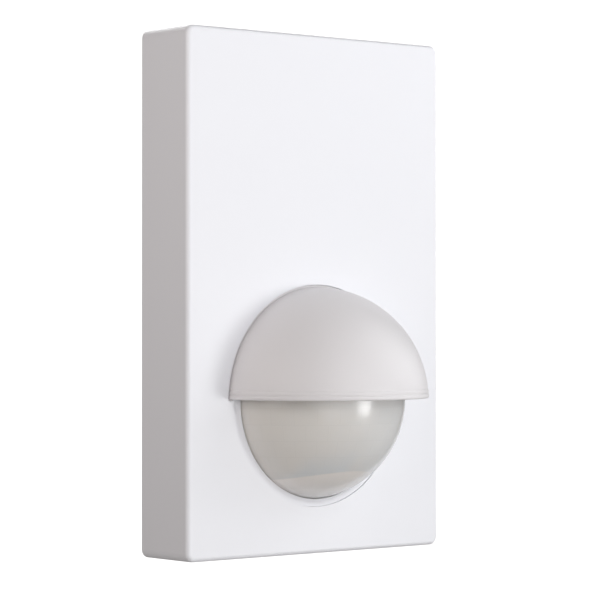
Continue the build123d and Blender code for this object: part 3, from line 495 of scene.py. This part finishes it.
slotted_screws = screw_tree()
quarter = radians(90)
to_wall, to_room, downwards = (-quarter, 0.0, 0.0), (quarter, 0.0, 0.0), (radians(180), 0.0, 0.0)


def screw_row(node, places, facing, head_radius, head_height, shank_radius, length, body="housing"):
    """Screws in place of a CAD node. Each place is the seat under the head."""
    row = grown_on(
        "fine_" + node, places, slotted_screws,
        {
            "Head Radius": head_radius * mm,
            "Head Height": head_height * mm,
            "Shank Radius": shank_radius * mm,
            "Shank Length": length * mm,
            "Pitch": shank_radius * 0.7 * mm,
            "Facing": facing,
        },
        zinc_plate, body,
    )
    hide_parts(node)


# Rim seal, cable grommet and plug: dull black and grey rubber. The seal is bonded in the rim's
# groove, the grommet snaps into the rear hole, and the plug closes the entry from below.
def rubber(name, colour, shade):
    """Moulded rubber: duller than plastic, with a faint bloom."""
    material = moulded_plastic(name, colour, shade, 0.72, 1500, 0.00003, 0.2, 60)
    shader = material.node_tree.nodes["Principled BSDF"]
    shader.inputs["Sheen Weight"].default_value = 0.25
    shader.inputs["Sheen Roughness"].default_value = 0.5
    return material


seal_rubber = rubber("seal_rubber", (0.035, 0.035, 0.038), (0.06, 0.06, 0.06))
grommet_rubber = rubber("grommet_rubber", (0.09, 0.095, 0.1), (0.14, 0.14, 0.14))
dress("rim_seal", seal_rubber)
dress("cable_grommet", grommet_rubber)
dress("sealing_plug", grommet_rubber)

# Terminal block: grey glass-filled plastic, screwed to the bracket's base, with four brass cage
# clamps in its pockets and a steel screw in each.
block_plastic = moulded_plastic("block_plastic", (0.3, 0.32, 0.33), (0.26, 0.27, 0.28), 0.55, 1800, 0.00002)
dress("terminal_block", block_plastic)
clamp_brass = metal("clamp_brass", (0.75, 0.56, 0.28), (0.6, 0.42, 0.2), 0.28, 700, (1, 0.05, 1))
dress("terminal_clamps", clamp_brass)
dress("contact_blades", clamp_brass)
pole_x = [-12.75, -4.25, 4.25, 12.75]
screw_row("terminal_screws", [(x, 9.9, -13.8) for x in pole_x], to_room, 2.0, 1.3, 1.3, 2.4, "bracket")
block_screw_places = [(x, 5.0, -11) for x in (-20.2, 20.2)]
screw_row("terminal_block_screws", block_screw_places, to_room, 1.9, 1.2, 1.2, 4.6, "bracket")

# Back cover of the housing: the same white plastic as its front shell, with the bulge for the tall
# parts, the hinge ears and the catch. Four screws hold it from behind on the gasket.
inner_plastic = moulded_plastic("inner_plastic", (0.78, 0.79, 0.79), (0.74, 0.75, 0.76), 0.42, 2600)
dress("housing_back", inner_plastic)
dress("housing_gasket", seal_rubber)
corner_x, corner_z = 30.5, 52.5
corners = [(x, 13.5, z) for x in (-corner_x, corner_x) for z in (-corner_z, corner_z)]
screw_row("housing_screws", corners, to_wall, 2.4, 1.4, 1.2, 8.2)

# Main board: glass fibre under green solder mask, with copper tracks under the mask. Four screws
# hold it on the posts of the front shell. The sensor board is the same, round and smaller.
def board_tracks():
    """Shader group: fields of tracks under a solder mask of uneven gloss."""
    tree, given, place = new_shader_group("board_tracks", {
        "Mask": (0.01, 0.12, 0.05, 1), "Track": (0.03, 0.22, 0.08, 1), "Field": 0.0054, "Pitch": 0.0018,
    })
    sum_of = partial(worked_out, tree)
    split = added(tree, "ShaderNodeSeparateXYZ", {0: place})
    across, upward = split["X"], split["Z"]
    # every square field of the board has its own direction of tracks, and some have none
    field = added(tree, "ShaderNodeCombineXYZ", {
        "X": sum_of("SNAP", across, given["Field"]), "Y": sum_of("SNAP", upward, given["Field"]),
    })[0]
    chance = added(tree, "ShaderNodeTexWhiteNoise", {"Vector": field}, noise_dimensions="2D")
    stripes = []
    for source in (across, upward):
        share = sum_of("FRACT", sum_of("DIVIDE", source, given["Pitch"]))
        away = sum_of("ABSOLUTE", sum_of("SUBTRACT", share, 0.5))
        stripes.append(sum_of("LESS_THAN", away, 0.21))
    upright = sum_of("MULTIPLY", stripes[0], sum_of("GREATER_THAN", chance["Value"], 0.62))
    level = sum_of("MULTIPLY", stripes[1], sum_of("LESS_THAN", chance["Value"], 0.4))
    tracks = sum_of("ADD", upright, level)
    return put_out(
        tree,
        blended(tree, tracks, given["Mask"], given["Track"]),
        sum_of("MULTIPLY_ADD", cloudy(tree, place, 1400.0), 0.15, 0.22),
        tracks,
    )


board_group = board_tracks()
board_mask = bpy.data.materials.new("board_mask")
finish_with(board_mask, board_group, 0.00003, Mask=(0.008, 0.1, 0.04, 1), Track=(0.02, 0.17, 0.065, 1))
dress("main_board", board_mask)
dress("sensor_board", board_mask)
post_places = [(x, 18.1, z) for x in (-27, 27) for z in (-45.5, 45.5)]
screw_row("board_screws", post_places, to_wall, 2.2, 1.2, 1.1, 6.3)
dome_z, sensor_screw_circle = -24.3, 19.5
sensor_screw_places = [
    (sensor_screw_circle * cos(radians(a)), 20.7, dome_z + sensor_screw_circle * sin(radians(a)))
    for a in (90, 210, 330)
]
screw_row("sensor_board_screws", sensor_screw_places, to_wall, 1.6, 0.8, 0.9, 3.6)

# Parts on the main board: relay, capacitors, varistor, fuse and choke behind it, the small
# controller in front. Each stands on its own leads, soldered through the board; the smallest
# parts are soldered flat on its front.
def moulded_case(node, across, depth, height, edge, seam, material, slot):
    """A box with rounded edges in place of a CAD node. A sunk seam runs round it at the seam's depth."""
    seam_width, seam_sunk = 0.12, 0.14
    work = bmesh.new()
    bmesh.ops.create_cube(work, size=1.0)
    for point in work.verts:
        x, y, z = (0 if part < 0 else 1 for part in point.co)
        point.co = (across[x], depth[y], height[z])
    box = work.verts[:] + work.edges[:] + work.faces[:]
    bmesh.ops.bisect_plane(work, geom=box, plane_co=(0, seam, 0), plane_no=(0, 1, 0))
    sharp = [e for e in work.edges if e.calc_face_angle(0) > 1]
    bmesh.ops.bevel(work, geom=sharp, offset=edge, segments=3, affect="EDGES", profile=0.5)
    joint = [e for e in work.edges if all(abs(v.co.y - seam) < 0.001 for v in e.verts)]
    groove = bmesh.ops.bevel(work, geom=joint, offset=seam_width, segments=2, affect="EDGES", profile=0.5)
    for point in groove["verts"]:
        if abs(point.co.y - seam) < 0.01:
            for axis, centre in ((0, sum(across) / 2), (2, sum(height) / 2)):
                away = point.co[axis] - centre
                if abs(away) > 0.1:
                    point.co[axis] -= copysign(seam_sunk, away)
    points = [tuple(v.co) for v in work.verts]
    faces = [tuple(v.index for v in f.verts) for f in work.faces]
    work.free()
    piece = piece_from("fine_" + node, points, faces, material, "housing", slot, 40)
    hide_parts(node)


relay_case = moulded_plastic("relay_case", (0.03, 0.1, 0.32), (0.02, 0.07, 0.25), 0.35, 2000)
film_case = moulded_plastic("film_case", (0.72, 0.5, 0.1), (0.62, 0.42, 0.08), 0.32, 1800)
part_black = moulded_plastic("part_black", (0.02, 0.02, 0.022), (0.035, 0.035, 0.035), 0.5, 1600, 0.00002)
board_rear, board_front = 18.1, 19.7
moulded_case("relay", (-18.7, -3.3), (7.7, board_rear), (2.5, 22.5), 0.5, 17.2, relay_case, "relay_blue")
moulded_case(
    "film_capacitor", (-1.15, 6.35), (8.3, board_rear), (3.0, 21.0), 0.35, 17.4, film_case,
    "capacitor_yellow",
)
moulded_case(
    "microcontroller", (-3.5, 3.5), (board_front, 21.1), (29.5, 36.5), 0.12, 20.4, part_black, "part_black",
)
shrunk_sleeve = moulded_plastic("shrunk_sleeve", (0.015, 0.016, 0.03), (0.03, 0.03, 0.045), 0.25, 900)
can_x, can_depth = 13.6, 14.1
can_outline = [
    (0, 2.5), (3.5, 2.5), (3.85, 2.62), (4.0, 2.95), (4.0, 14.3), (3.72, 14.7), (3.72, 15.0),
    (4.0, 15.4), (4.0, 17.1), (3.85, 17.4), (3.5, 17.5), (3.3, 17.3), (0, 17.3),
]
can_points, can_faces = turned(can_outline, 0, 0, 48)
can_points = [(can_x + x, can_depth + z, up) for x, up, z in can_points]
sleeve = piece_from("fine_storage_capacitor", can_points, can_faces, shrunk_sleeve, "housing", "sleeve_black")
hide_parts("storage_capacitor")
dress("varistor", moulded_plastic("varistor_coat", (0.03, 0.13, 0.42), (0.02, 0.1, 0.36), 0.3, 700, 0.00006))
dress("fuse", moulded_plastic("fuse_cap", (0.08, 0.035, 0.02), (0.06, 0.03, 0.02), 0.45))
dress("choke_core", moulded_plastic("ferrite", (0.035, 0.035, 0.038), (0.06, 0.06, 0.06), 0.62, 900, 0.00006))
dress("board_connector", moulded_plastic("connector_cream", (0.72, 0.68, 0.54), (0.66, 0.61, 0.48), 0.45))


def winding_tree():
    """Geometry tree: one layer of wire wound round an axis that leaves the place along local +Z."""
    tree, given = new_geometry_tree("wound_wire", "Wire", {
        "Winding Radius": 0.003, "Winding Length": 0.005, "Turns": 12.0, "Wire Radius": 0.0002,
    })
    coil = added(tree, "GeometryNodeCurveSpiral", {
        "Resolution": 28, "Rotations": given["Turns"], "Height": given["Winding Length"],
        "Start Radius": given["Winding Radius"], "End Radius": given["Winding Radius"],
    })
    return spread_on_places(tree, given, rod(tree, coil, given["Wire Radius"], 8), "Wire")


copper_wire = metal("copper_wire", (0.7, 0.28, 0.12), (0.55, 0.2, 0.08), 0.3)
winding = grown_on(
    "fine_choke_winding", [(2.6, 11.4, 27.4)], winding_tree(),
    {
        "Winding Radius": 3.05 * mm, "Winding Length": 5.4 * mm, "Turns": 12.0, "Wire Radius": 0.235 * mm,
        "Facing": to_room,
    },
    copper_wire, "housing", 60,
)
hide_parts("choke_winding")


def solder_tree():
    """Geometry tree: a soldered joint, a low cone with the cut end of the lead standing out of it."""
    sizes = {"Joint Radius": 0.001, "Joint Height": 0.0006}
    tree, given = new_geometry_tree("solder_joints", "Joints", sizes)
    times = partial(worked_out, tree, "MULTIPLY")
    radius, height = given["Joint Radius"], given["Joint Height"]
    cones = [
        added(tree, "GeometryNodeMeshCone", {
            "Vertices": 20, "Radius Bottom": times(radius, foot), "Radius Top": times(radius, top),
            "Depth": times(height, share),
        })["Mesh"]
        for foot, top, share in ((1.0, 0.34, 0.75), (0.3, 0.24, 1.0))
    ]
    joint = added(tree, "GeometryNodeJoinGeometry", {"Geometry": cones})["Geometry"]
    return spread_on_places(tree, given, joint, "Joints")


solder = metal("solder", (0.72, 0.72, 0.7), (0.58, 0.58, 0.56), 0.24)
joints = [
    (-16.5, 4.5), (-5.5, 4.5), (-11, 8), (-6, 10), (-6, 20.5), (2.6, 4.5), (2.6, 19.5), (11.6, 4), (15.6, 4),
    (-13.5, 28.2), (-8.5, 28.2), (0.6, 27), (4.6, 27), (13.6, 24), (13.6, 29),
]
joints += [(x, -6.9) for x in pole_x]
grown_on(
    "solder_joints", [(x, board_front - 0.02, z) for x, z in joints], solder_tree(),
    {"Joint Radius": 1.0 * mm, "Joint Height": 0.85 * mm, "Facing": to_room},
    solder, "housing",
)
chips = [
    (-20, 40), (-15, 40), (-15, 43), (-20, 35), (-24, 30), (-24, 33), (9, 40), (13, 40), (13, 43), (19, 38),
    (19, 35), (22, 30), (8, 33), (8, 36), (-9, 33), (-9, 36), (24, 2), (24, 5), (-24, 2), (-24, -2),
]
chip_places = [(x, board_front + 0.23, z) for x, z in chips]
bars("chip_bodies", chip_places, (1.5, 0.46, 1.2), 1, (0, 0, 0), part_black, "housing")
bars("chip_ends", chip_places, (0.3, 0.5, 1.24), 2, (1.75, 0, 0), solder, "housing")
leg_places = [(x, board_front + 0.3, 33) for x in (-3.85, 3.85)]
bars("controller_legs", leg_places, (0.9, 0.16, 0.32), 8, (0, 0, 0.8), solder, "housing")

# Sensing head: two drawn steel cans with dark silicon windows, tilted to the left and the right on
# a black carrier, a clear light sensor and a red status light beside them.
dress("sensor_carrier", part_black)
can_metal = metal("can_metal", (0.68, 0.65, 0.58), (0.55, 0.52, 0.46), 0.2, 1200, (1, 0.05, 1))
silicon = moulded_plastic("silicon", (0.03, 0.022, 0.03), (0.05, 0.035, 0.045), 0.08, 300, 0.000001)
for hand in ("left", "right"):
    dress(f"pir_sensor_{hand}", can_metal)
    dress(f"pir_window_{hand}", silicon)
clear_resin = moulded_plastic("clear_resin", (0.75, 0.78, 0.78), (0.7, 0.72, 0.74), 0.08, 500, 0.000001)
clear_resin.node_tree.nodes["Principled BSDF"].inputs["Transmission Weight"].default_value = 0.7
red_resin = moulded_plastic("red_resin", (0.55, 0.03, 0.02), (0.45, 0.02, 0.02), 0.12, 500, 0.000001)
red_resin.node_tree.nodes["Principled BSDF"].inputs["Transmission Weight"].default_value = 0.3
dress("light_sensor", clear_resin)
dress("status_light", red_resin)
dress("light_level_potentiometer", part_black)
dress("time_potentiometer", part_black)

# Lens: a ball-shaped shell of milky polyethylene with rows of facets moulded on its inside. Its
# flange turns between a rubber seal and the ring that laps over it.
dress("lens_seal", seal_rubber)
dress("lens_ring", inner_plastic)
lens_radius, lens_inner, lens_centre = 23.3, 22.3, 25.7
# the outline (radius, depth): round the flange, up the inside of the ball and down its outside
lens_profile = [
    (lens_radius, lens_centre), (lens_radius, 25.275), (25.45, 25.275), (25.6, 25.15), (25.6, 24.3),
    (lens_inner, 24.275), (lens_inner, lens_centre),
]
inside_angles, outside_angles = [2 * i for i in range(1, 46)], [90 - 1.5 * i for i in range(60)]
for radius, angles in ((lens_inner, inside_angles), (lens_radius, outside_angles)):
    lens_profile += [(radius * cos(radians(a)), lens_centre + radius * sin(radians(a))) for a in angles]
lens_milk = bpy.data.materials.new("lens_milk")
lens_milk.use_nodes = True
lens_piece = piece_from("milky_lens", *turned(lens_profile, 0, dome_z, 160), lens_milk, "lens", "lens_milky")
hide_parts("fresnel_lens")


def lens_rows():
    """Shader group: the facet rows seen through milky plastic, from the height on the lens, with painted warm
    light on its left side and below the crease.
    """
    tree, given, place = new_shader_group("lens_rows", {
        "Milk": (0.752, 0.748, 0.735, 1), "Painted Warm Light Left": (0.752, 0.72, 0.675, 1),
        "Cool": (0.7, 0.716, 0.716, 1), "Painted Light From Below": (0.9, 0.845, 0.795, 1),
        "Crease": -0.0162, "Crease Bow": 10.0, "Roughness": 0.3,
    })
    sum_of, times = partial(worked_out, tree), partial(worked_out, tree, "MULTIPLY")
    split = added(tree, "ShaderNodeSeparateXYZ", {0: place})
    across, upward = split["X"], split["Z"]

    def ramp(value, start, end):
        reach = {"Value": value, "From Min": start, "From Max": end}
        return added(tree, "ShaderNodeMapRange", reach, interpolation_type="SMOOTHSTEP")["Result"]

    # height above the edge of the lowest facet zone, which bows down towards both sides
    bow = times(times(across, across), given["Crease Bow"])
    height = sum_of("SUBTRACT", sum_of("ADD", upward, -dome_z * mm), given["Crease"])
    level = sum_of("ADD", height, bow)
    lowest = ramp(level, 0.00025, -0.00025)
    # the crease shows on both sides of the middle, more on the left
    aside = sum_of("ABSOLUTE", across)
    fainter = sum_of("MULTIPLY_ADD", ramp(across, 0.001, -0.001), 0.7, 0.3)
    both_sides = times(ramp(aside, 0.0145, 0.0105), ramp(aside, -0.0005, 0.0035))
    crease = times(both_sides, fainter)
    # the plastic looks cool just above the crease; the warm, brighter tint below it is painted light from
    # below
    above = times(ramp(level, 0.0068, 0.0003), ramp(level, -0.0002, 0.0002))
    below = times(times(lowest, ramp(level, -0.0066, -0.001)), ramp(across, 0.011, -0.002))
    # the warmer tint towards the left is painted warm light from the left, not a tint of the plastic
    milk_and_painted_left_light = blended(tree, ramp(across, 0.012, -0.018), given["Milk"], given["Painted Warm Light Left"])
    tint = blended(tree, times(times(above, crease), 0.9), milk_and_painted_left_light, given["Cool"])
    # painted light from below: the lowest facet zone is tinted warmer and brighter
    tint = blended(tree, below, tint, given["Painted Light From Below"])
    # the net of facets, in millimetres round the lens and up it
    out_of_wall = sum_of("MULTIPLY_ADD", split["Y"], -1.0, -lens_centre * mm)
    turn = times(sum_of("ARCTAN2", across, out_of_wall), lens_radius)
    net_place = added(tree, "ShaderNodeCombineXYZ", {"X": turn, "Y": sum_of("DIVIDE", upward, mm)})[0]
    facet_edges = added(tree, "ShaderNodeTexBrick", {
        "Vector": net_place, "Scale": 1.0, "Mortar Size": 0.12, "Mortar Smooth": 0.6,
        "Brick Width": 5.4, "Row Height": 3.7,
    })["Fac"]
    return put_out(
        tree,
        blended(tree, times(facet_edges, 0.05), tint, (0.5, 0.5, 0.5, 1), "MULTIPLY"),
        sum_of("MULTIPLY_ADD", cloudy(tree, place, 70.0), 0.08, given["Roughness"]),
        sum_of("MULTIPLY_ADD", facet_edges, 0.3, times(times(lowest, crease), 0.8)),
    )


lens_shader = finish_with(lens_milk, lens_rows(), 0.00004, Roughness=0.31)
for label, value in {
    "Subsurface Weight": 0.35, "Subsurface Radius": (1.0, 0.9, 0.8), "Subsurface Scale": 0.003,
    "IOR": 1.5, "Coat Weight": 0.75, "Coat Roughness": 0.18,
}.items():
    lens_shader.inputs[label].default_value = value

# Front shell of the housing: white plastic tray with the round well for the lens and the openings
# for the two knobs, closed by the gasket and the back cover.
dress("sensor_housing", inner_plastic)
knob_plastic = moulded_plastic("knob_plastic", (0.2, 0.21, 0.22), (0.17, 0.18, 0.19), 0.45, 1800)
dress("light_level_knob", knob_plastic)
dress("time_knob", knob_plastic)
screw_row("locking_screw", [(0, 20.7, -58.55)], downwards, 2.8, 1.3, 1.5, 6.5, "lock")

# Dial marks: printed in grey on the front shell round each knob. A sun marks the light level and a
# clock the time.
def tick_tree():
    """Geometry tree: equal ticks on an arc round every place, counted from the first angle."""
    tree, given = new_geometry_tree("dial_ticks", "Ticks", {
        "Tick Size": (0.001, 0.0003, 0.0001), "Number Of Ticks": 11, "Circle": 0.007,
        "First Angle": 0.0, "Angle Step": 0.4,
    })
    sum_of = partial(worked_out, tree)
    number = added(tree, "GeometryNodeInputIndex", {})["Index"]
    angle = sum_of("MULTIPLY_ADD", number, given["Angle Step"], given["First Angle"])
    place = added(tree, "ShaderNodeCombineXYZ", {
        "X": sum_of("MULTIPLY", sum_of("COSINE", angle), given["Circle"]),
        "Y": sum_of("MULTIPLY", sum_of("SINE", angle), given["Circle"]),
    })[0]
    row = added(tree, "GeometryNodeMeshLine", {"Count": given["Number Of Ticks"]})["Mesh"]
    arc = added(tree, "GeometryNodeSetPosition", {"Geometry": row, "Position": place})["Geometry"]
    tick = added(tree, "GeometryNodeMeshCube", {"Size": given["Tick Size"]})["Mesh"]
    turn = added(tree, "ShaderNodeCombineXYZ", {"Z": angle})[0]
    return spread_on_places(tree, given, made_real(tree, arc, tick, turn), "Ticks")


dial_ticks = tick_tree()
print_grey = moulded_plastic("print_grey", (0.16, 0.17, 0.18), (0.2, 0.21, 0.22), 0.6, 5000, 0.000002)
print_face, print_height = 27.92, 0.06
knob_x, knob_z, mark_z = 13, 17, 29.5


def ticks(name, places, size, count, circle, first_angle, angle_step):
    """Printed ticks. Size (along the radius, across it) is in millimetres, angles are in degrees."""
    grown_on(
        name, places, dial_ticks,
        {
            "Tick Size": tuple(side * mm for side in (*size, print_height)),
            "Number Of Ticks": count,
            "Circle": circle * mm,
            "First Angle": radians(first_angle),
            "Angle Step": radians(angle_step),
            "Facing": to_room,
        },
        print_grey, "housing",
    )


dial_places = [(x, print_face, knob_z) for x in (-knob_x, knob_x)]
ticks("dial_ticks", dial_places, (1.3, 0.3), 11, 7.4, 225, -27)
ticks("dial_ends", dial_places, (0.35, 1.6), 2, 9.3, 225, -270)
ticks("sun_rays", [(-knob_x, print_face, mark_z)], (0.7, 0.26), 8, 1.95, 0, 45)
ticks("clock_hands", [(knob_x, print_face, mark_z)], (1.2, 0.28), 2, 0.6, 90, -90)
ring_rear, ring_front = 27.89, 27.95
for name, x, inner, outer in (("sun_disc", -knob_x, 0.75, 1.15), ("clock_rim", knob_x, 1.75, 2.05)):
    rim = [(inner, ring_rear), (outer, ring_rear), (outer, ring_front), (inner, ring_front)]
    piece_from(name, *turned(rim, x, mark_z, 48), print_grey, "housing", "knob_grey")

# Hood: half a dome of satin white plastic over the lens, with two fine grooves along its lower edge
# and a collar sunk in the panel's opening. Four melted stakes hold its flange behind the panel.
hood_plastic = moulded_plastic(
    "hood_plastic", (0.792, 0.772, 0.781), (0.768, 0.749, 0.758), 0.44, 4200, 0.000006,
)
hood_radius, hood_wall, hood_centre, hood_rear, hood_foot = 25.903, 1.6, 29.797, 28.2, -23.95
# height above the foot, and how far the surface stands proud of the dome
edge_band = [
    (0.0, -0.1), (0.06, 0.0), (0.16, 0.08), (0.3, 0.13), (0.5, 0.16), (0.7, 0.16), (0.86, 0.12),
    (0.95, 0.03), (1.02, -0.03), (1.1, -0.02), (1.2, 0.05), (1.4, 0.09), (1.65, 0.11), (1.85, 0.1),
    (2.0, 0.04), (2.1, -0.03), (2.2, -0.04), (2.32, -0.02), (2.5, 0.0),
]
outer_levels = [(hood_foot + rise, proud) for rise, proud in edge_band]
rise_steps, round_steps = 56, 120
first_angle = degrees(asin((outer_levels[-1][0] - dome_z) / hood_radius))
for step in range(1, rise_steps + 1):
    angle = first_angle + (90 - first_angle) * step / rise_steps
    outer_levels.append((dome_z + hood_radius * sin(radians(angle)), 0.0))
hood_points, hood_faces = [], []
inner_top = dome_z + hood_radius - hood_wall
outer_top = dome_z + hood_radius
for inner in (False, True):
    for z, proud in outer_levels:
        radius = hood_radius + proud
        if inner:
            z = hood_foot + (z - hood_foot) * (inner_top - hood_foot) / (outer_top - hood_foot)
            radius = hood_radius - hood_wall
        span = sqrt(max(radius**2 - (z - dome_z) ** 2, 0))
        hood_points.append((-span, hood_rear, z))
        for step in range(round_steps + 1):
            angle = pi * step / round_steps - pi / 2
            hood_points.append((span * sin(angle), hood_centre + span * cos(angle), z))
        hood_points.append((span, hood_rear, z))
row = round_steps + 3
levels = len(outer_levels)
for shell in (0, levels * row):
    for level in range(levels - 1):
        for step in range(row - 1):
            a = shell + level * row + step
            hood_faces.append((a, a + 1, a + row + 1, a + row))
for step in range(row - 1):
    a, b = step, levels * row + step
    hood_faces.append((a, a + 1, b + 1, b))
for level in range(levels - 1):
    for end in (0, row - 1):
        a, b = level * row + end, levels * row + level * row + end
        hood_faces.append((a, a + row, b + row, b))
collar_points, collar_faces = turned(
    [(24.8, hood_rear), (26.43, hood_rear), (26.43, 29.66), (26.36, 29.74), (24.8, 29.74)],
    0, dome_z, 120, 0.2, 179.8,
)
base = len(hood_points)
hood_points += collar_points
hood_faces += [tuple(base + i for i in face) for face in collar_faces]
hood = piece_from("satin_hood", hood_points, hood_faces, hood_plastic, "panel", "hood_white", 24)
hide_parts("lens_hood")

# Foot ring: the white ring that is moulded with the hood. It fills the panel's round opening and
# rises a little towards the lens.
panel_plastic = moulded_plastic(
    "panel_plastic", (0.86, 0.866, 0.9), (0.85, 0.856, 0.89), 0.42, 4500, 0.000006,
)
ring_outline = [
    (23.5, 27.05), (28.3, 27.05), (28.35, 27.1), (28.35, 28.15), (24.82, 28.17), (24.82, 29.76),
    (24.76, 29.82), (24.4, 29.84), (24.05, 29.9), (23.75, 30.0), (23.5, 30.13), (23.3, 30.29),
    (23.17, 30.42), (23.09, 30.42), (23.04, 30.3), (23.02, 29.3),
]
foot_ring = piece_from(
    "foot_ring", *turned(ring_outline, 0, dome_z, 180), panel_plastic, "panel", "panel_white", 24,
)
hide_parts("lens_hood")

# Front panel: one moulding of white satin plastic with square corners, open to the rear. It slides
# over the housing, and the locking screw below holds it.
dress("front_panel", panel_plastic)
